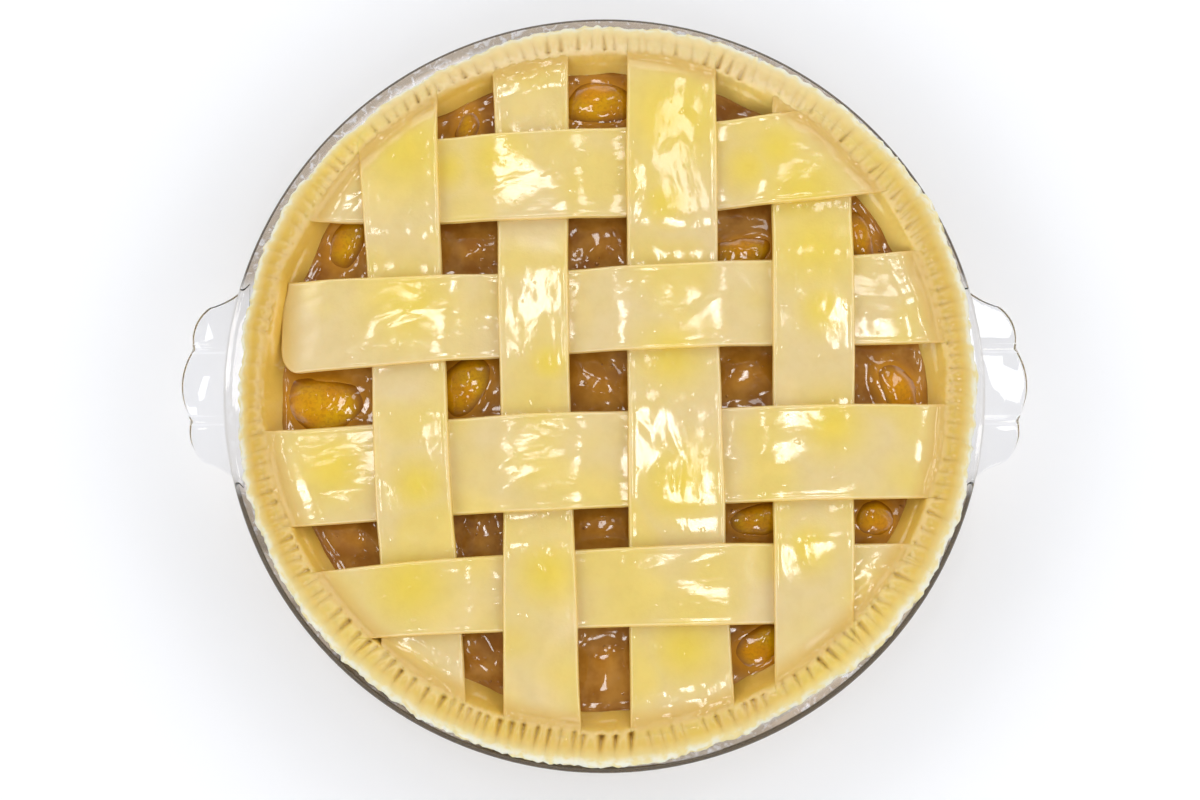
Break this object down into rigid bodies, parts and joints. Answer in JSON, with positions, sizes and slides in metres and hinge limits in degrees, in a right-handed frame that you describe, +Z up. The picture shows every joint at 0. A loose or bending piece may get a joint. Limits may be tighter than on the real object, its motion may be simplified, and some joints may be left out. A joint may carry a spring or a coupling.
{
  "type": "peach pie",
  "caption": "Unbaked round peach pie with a woven lattice top over fruit in syrup and a fork-crimped edge, in a clear glass pie dish with a lobed handle at each side.",
  "frame": {"origin": "on the table under the middle of the dish, at the bottom centre of the bounding box", "axes": "+X towards one handle, +Z up"},
  "size_m": [0.2804, 0.252, 0.0504],
  "materials": {
    "clear_glass": "polished clear glass",
    "crust_dough": "raw pie dough, smooth and slightly floury, damp with egg wash on its inner half",
    "strip_dough": "raw pie dough under wet egg wash, glossy, yellow where the wash is thick",
    "peaches_in_syrup": "wet peach slices in glossy brown syrup"
  },
  "bodies": {
    "root": {"dish": "clear_glass", "crust": "crust_dough", "filling": "peaches_in_syrup", "strip_down_1": "strip_dough", "strip_down_2": "strip_dough", "strip_down_3": "strip_dough", "strip_down_4": "strip_dough", "strip_across_1": "strip_dough", "strip_across_2": "strip_dough", "strip_across_3": "strip_dough", "strip_across_4": "strip_dough"}
  },
  "joints": []
}
